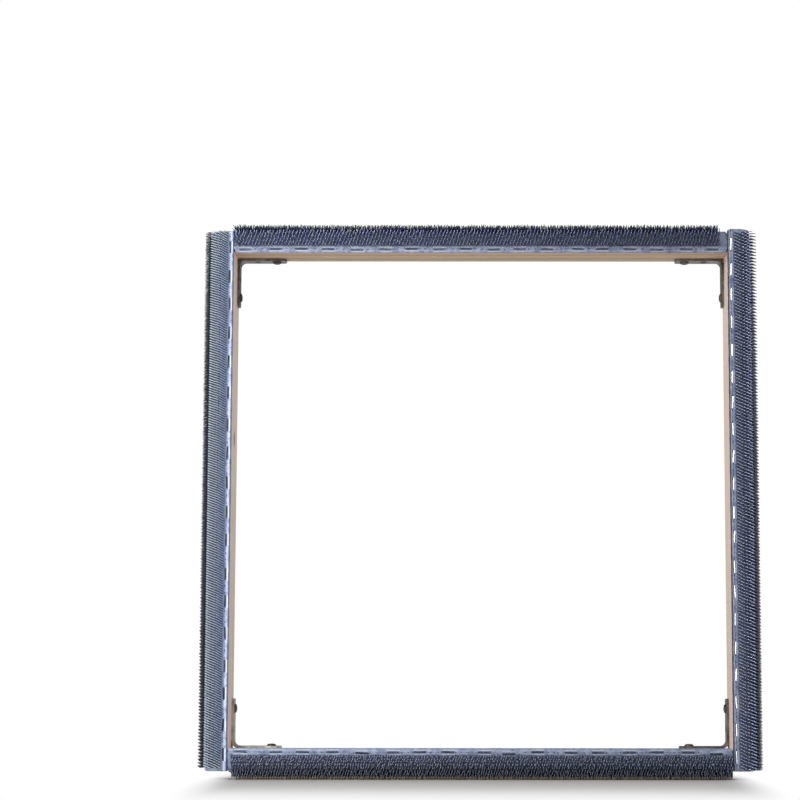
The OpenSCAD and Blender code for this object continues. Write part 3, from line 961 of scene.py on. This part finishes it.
# Each strip was woven a little differently. Lengths are in mm and angles in radians:
# pitch: how far apart the wires of a row stand. shift: how much further along each row starts.
# steady: where round the bend the outer rows begin, as the sine of the angle (above 1: nowhere).
# outer_pitch: the pitch there. drift: how much further along such a row starts, as a share of the row gap.
# aside: how far the wires on the front lean sideways. uneven: how much the wires stray.
# shorter: how much shorter than the longest wire the shortest is, as a share.
ROWS = {
    "right": {
        "pitch": 2.75, "shift": -0.93, "steady": 0.86, "outer_pitch": 2.75, "drift": 0.31,
        "aside": -0.14, "uneven": 0.08, "shorter": 0.03,
    },
    "left": {
        "pitch": 2.1, "shift": -1.04, "steady": 0.86, "outer_pitch": 2.75, "drift": 0.2,
        "aside": -0.25, "uneven": 0.04, "shorter": 0.08,
    },
    "top": {"pitch": 2.85, "shift": -0.79, "steady": 1.1, "aside": -0.08, "uneven": 0.18, "shorter": 0.2},
    "bottom": {"pitch": 2.2, "shift": -0.74, "steady": 1.1, "aside": -0.1, "uneven": 0.26, "shorter": 0.08},
}
# How far the wires are turned back, in radians, where they lean straight backwards on the outer side
STRAIGHTENED = 0.33
# The top strip's wires near its right end are knocked about: over this length, and by these turns
KNOCKED_LENGTH = 6 * MM
KNOCKED_TURN = (-0.4, 1.5)
# How far the wires lean out, in times the model's own lean
LEAN = (0.8, 1.15)


def on_cloth(across):
    """The point on the cloth's outer face, and the ways out along the cloth and up from it."""
    lift = GLUE_LINE + CLOTH_THICK
    if across <= round_x:
        return Vector((across, -lift, 0)), Vector((1, 0, 0)), Vector((0, -1, 0))
    angle = (across - round_x) / middle_radius
    if angle < math.pi / 2:
        up = Vector((math.sin(angle), -math.cos(angle), 0))
        return Vector((round_x, round_y, 0)) + up * (ROUND_RADIUS + lift), Vector((-up.y, up.x, 0)), up
    behind = across - round_x - middle_radius * math.pi / 2
    return Vector((bar_width + lift, round_y + behind, 0)), Vector((0, 1, 0)), Vector((1, 0, 0))


def wire_places(side):
    """A matrix for every wire of one strip."""
    rng = random.Random(side + " wires")
    weave = ROWS[side]
    uneven = weave["uneven"]
    low, high = strip_ends(side)
    low += BARE_ENDS[side][0] * MM
    high -= BARE_ENDS[side][1] * MM
    along = Vector((0, 0, 1))
    shift = 0.0
    places = []
    for row in range(int((field_end - field_start) / ROW_GAP) + 1):
        across = field_start + row * ROW_GAP
        base, out, up = on_cloth(across)
        steady = up.x >= weave["steady"]
        pitch = weave["outer_pitch" if steady else "pitch"] * MM
        shift += weave["drift"] * ROW_GAP if steady else weave["shift"] * MM
        start = low + shift % pitch
        for i in range(int((high + askew(side, across) - start) / pitch) + 1):
            spin = weave["aside"] * (1 - up.x) + STRAIGHTENED * max(0.0, up.x) + rng.gauss(0, uneven)
            if side == "top" and high - start - i * pitch < KNOCKED_LENGTH:
                spin += rng.uniform(*KNOCKED_TURN)
            tall = rng.uniform(1 - weave["shorter"], 1.0)
            lean = out * math.cos(spin) + along * math.sin(spin)
            side_way = along * math.cos(spin) - out * math.sin(spin)
            foot = base + along * (start + i * pitch + rng.gauss(0, uneven) * MM)
            foot += out * rng.gauss(0, uneven) * MM
            places.append(lay_out(foot, lean * rng.uniform(*LEAN), side_way, up * tall))
    return places


POINT_SLACK = 0.6 * MM


def reach_of(side):
    """How far the CAD model lets this side's wires stand out from the wood."""
    low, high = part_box(side + "_wires")
    reaches = {
        "right": high.x - bar_high.x,
        "left": -bar_high.x - low.x,
        "top": high.z - bar_high.z,
        "bottom": bar_low.z - low.z,
    }
    return reaches[side]


def mark_heights(field):
    """Give each wire's points a map of their height, from 0 at the foot to 1 at the point."""
    heights = [(wire.data.vertices[loop.vertex_index].co.z / WIRE_HEIGHT, 0.0) for loop in wire.data.loops]
    copies = len(field.data.loops) // len(heights)
    layer = field.data.uv_layers.new(name="up_the_wire")
    layer.data.foreach_set("uv", np.tile(heights, (copies, 1)).ravel())


def field_of_wires(side):
    """Stand all the wires of one strip, with none reaching far past the CAD model's."""
    field = stamp(wire, wire_places(side), side + "_gripper_wires")
    limit = bar_width + reach_of(side) + POINT_SLACK
    for vertex in field.data.vertices:
        vertex.co.x = min(vertex.co.x, limit)
    field.data.shade_smooth()
    mark_heights(field)
    carry(field, side)
    settle_in(field, WIRE_STEELS[side], side + "_wires")


for side in SIDE_TURNS:
    field_of_wires(side)
bpy.data.objects.remove(wire)

# %% [markdown]
# ## The staples
#
# A staple is a flat wire bent into a bridge: a 10.6 mm crown across the top and two legs that go through
# the cloth into the wood. It starts as a box as big as the crown. Two cuts mark the legs' width, the
# legs are extruded from the underside, and the two shoulders are rounded, as bending does. A hand-held
# gun never sets them quite straight or quite evenly, so each copy is turned and slid a little. The gun
# leant on the bar's edge, so every crown is rolled towards the window: its inner long edge bites into
# the cloth and its outer one stands up.

# %% Model one staple and set the rows
STAPLE_WIDTH = 1.1 * MM
STAPLE_THICK = 0.5 * MM
SHOULDER = 0.42 * MM
CROWN_ROLL = math.radians(25)
# How much the crowns stray from straight and from their roll, in radians
TILT_STRAY = 0.035
ROLL_STRAY = 0.06
# How wide the staples' wire is, in times the model's: the right strip's are the stoutest
RIGHT_GAUGE = 1.0
FINE_GAUGE = 0.75
front_crown_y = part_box("right_front_staples")[0].y - front_y
leg_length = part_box("right_front_staples")[1].y - front_y - front_crown_y - STAPLE_THICK
rear_crown_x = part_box("right_rear_staples")[1].x - inner_face
rear_staple_y = sum(corner.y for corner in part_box("right_rear_staples")) / 2 - front_y


def one_staple():
    """The master staple: its crown along y, its top at z = 0 and its legs pointing down."""
    staple = fresh(bpy.ops.mesh.primitive_cube_add, "master_staple", size=1.0, location=(0, 0, 0))
    edit(staple)
    bpy.ops.mesh.select_all(action="SELECT")
    bpy.ops.transform.resize(value=(STAPLE_WIDTH, CROWN_LENGTH, STAPLE_THICK))
    bpy.ops.transform.translate(value=(0, 0, -STAPLE_THICK / 2))
    leg_edge = CROWN_LENGTH / 2 - STAPLE_THICK
    for spot in (-leg_edge, leg_edge):
        bpy.ops.mesh.select_all(action="SELECT")
        bpy.ops.mesh.bisect(plane_co=(0, spot, 0), plane_no=(0, 1, 0))
    under = -STAPLE_THICK
    pick("faces", lambda middle: abs(middle.z - under) < TOUCHING and abs(middle.y) > leg_edge)
    bpy.ops.mesh.extrude_region_move(TRANSFORM_OT_translate={"value": (0, 0, -leg_length)})
    end = CROWN_LENGTH / 2
    pick("edges", lambda middle: abs(abs(middle.y) - end) < TOUCHING and abs(middle.z) < TOUCHING)
    bpy.ops.mesh.bevel(offset=SHOULDER, segments=3)
    leave()
    apply_modifier(staple, "BEVEL", width=0.1 * MM, segments=1, limit_method="ANGLE",
                   angle_limit=math.radians(50))
    return staple


def row_of_staples(side, edge):
    """Set one row of staples, in the front margin or the rear one."""
    rng = random.Random(side + edge + " turns")
    places = []
    gauge = RIGHT_GAUGE if side == "right" else FINE_GAUGE
    along = Vector((0, 0, 1))
    for sway, spot in staple_spots(side, edge):
        tilt = rng.gauss(0, TILT_STRAY)
        roll = CROWN_ROLL + rng.gauss(0, ROLL_STRAY)
        if edge == "front":
            up = Vector((0, -1, 0))
            base = Vector((staple_x + sway, front_crown_y, spot))
            out = Vector((1, 0, 0))
        else:
            up = Vector((1, 0, 0))
            base = Vector((rear_crown_x, rear_staple_y + sway, spot))
            out = Vector((0, 1, 0))
        wide = out * math.cos(tilt) - along * math.sin(tilt)
        places.append(lay_out(base, (wide * math.cos(roll) + up * math.sin(roll)) * gauge,
                              along * math.cos(tilt) + out * math.sin(tilt),
                              up * math.cos(roll) - wide * math.sin(roll)))
    row = stamp(staple, places, side + "_" + edge + "_staple_row")
    carry(row, side)
    select_only(row)
    bpy.ops.object.shade_smooth_by_angle(angle=math.radians(40))
    # Painted light: the right row gets the lit copy of the staple steel, the other rows the shaded copy.
    finish = staples_lit_copy if side == "right" else staples_shaded_copy
    settle_in(row, finish, side + "_" + edge + "_staples")


staple = one_staple()
for side in SIDE_TURNS:
    for edge in ("front", "rear"):
        row_of_staples(side, edge)
bpy.data.objects.remove(staple)

# %% [markdown]
# ## The studio
#
# The picture was taken in a white studio. The floor is a wide pale sheet, with a painted shadow that greys
# it close round the frame's foot. Light comes softly from everywhere. A large lamp at the upper left gives
# the bars their bright and their shaded faces, a weak one at the right fills in, and one behind keeps the
# floor bright and lets a soft shadow fall forwards. The world is white where the camera looks at it, and
# dimmer as a light and in the steel, so that nothing on the frame is washed out and the wires keep dark
# sides.

# %% Floor
FLOOR_SIZE = 12.0
FOOT_HALF = 0.19


def studio_floor():
    """Pale paper with a painted shadow, greyer close round the frame's foot, and plain white to the camera
    further off.
    """
    floor = fresh(bpy.ops.mesh.primitive_grid_add, "studio_floor", x_subdivisions=4, y_subdivisions=4,
                  size=FLOOR_SIZE)
    sheet = Finish("studio_floor")
    x, y, _ = sheet.axes()
    beside = (abs(x) - FOOT_HALF).most(0.0) * 8
    away = (beside * beside + y * y).power(0.5)
    # Painted shadow: the paper is greyer close round the frame's foot.
    pale = sheet.mix(away.step(0.05, 0.26), srgb(206, 205, 203), srgb(250, 250, 250))
    sheet.set(Base_Color=pale, Roughness=0.9, Specular_IOR_Level=0.1)
    seen = sheet.node("ShaderNodeLightPath", {}, {}, "Is Camera Ray")
    white = sheet.node("ShaderNodeEmission", {}, {"Strength": 1.0})
    paper = Value(sheet, sheet.shader.outputs[0])
    shown = sheet.node("ShaderNodeMixShader", {}, {0: seen * away.step(0.12, 0.36), 1: paper, 2: white})
    sheet.link(shown, sheet.tree.nodes["Material Output"].inputs["Surface"])
    floor.data.materials.append(sheet.material)


studio_floor()
print("floor laid,", FLOOR_SIZE, "m wide")


# %% Lamps
def lamp(name, place, aim, width, height, power):
    """A soft lamp at place, turned towards aim."""
    data = bpy.data.lights.new(name, "AREA")
    data.shape = "RECTANGLE"
    data.size = width
    data.size_y = height
    data.energy = power
    made = bpy.data.objects.new(name, data)
    bpy.context.scene.collection.objects.link(made)
    made.location = place
    made.rotation_euler = (Vector(aim) - Vector(place)).to_track_quat("-Z", "Y").to_euler()
    made.visible_camera = False
    return made


frame_middle = (0, 0, centre_z)
lamp("key_lamp", (-1.5, -1.9, 1.15), frame_middle, 1.4, 2.2, 54)
lamp("fill_lamp", (2.4, -0.8, 0.7), frame_middle, 1.5, 1.5, 7)
back_lamp = lamp("back_lamp", (0.2, 2.2, 1.0), (0, -0.1, 0), 1.2, 1.2, 14)
back_lamp.visible_glossy = False
print("three lamps")


# %% World
def studio_world(seen, as_light):
    """A world of strength seen where it is looked at, and of strength as_light otherwise."""
    world = bpy.data.worlds.new("studio")
    bpy.context.scene.world = world
    world.use_nodes = True
    tree = world.node_tree
    tree.nodes.clear()
    kinds = ("LightPath", "Math", "Background", "Background", "MixShader", "OutputWorld")
    path, looked, white, dim, choose, out = (tree.nodes.new("ShaderNode" + kind) for kind in kinds)
    looked.operation = "MAXIMUM"
    for background, strength in ((white, seen), (dim, as_light)):
        background.inputs["Color"].default_value = (1, 1, 1, 1)
        background.inputs["Strength"].default_value = strength
    tree.links.new(path.outputs["Is Camera Ray"], looked.inputs[0])
    tree.links.new(path.outputs["Is Transmission Ray"], looked.inputs[1])
    for number, shader in enumerate((looked, dim, white)):
        tree.links.new(shader.outputs[0], choose.inputs[number])
    tree.links.new(choose.outputs[0], out.inputs["Surface"])


studio_world(1.0, 0.35)
bpy.context.scene.view_settings.view_transform = "Standard"
print("world lit")
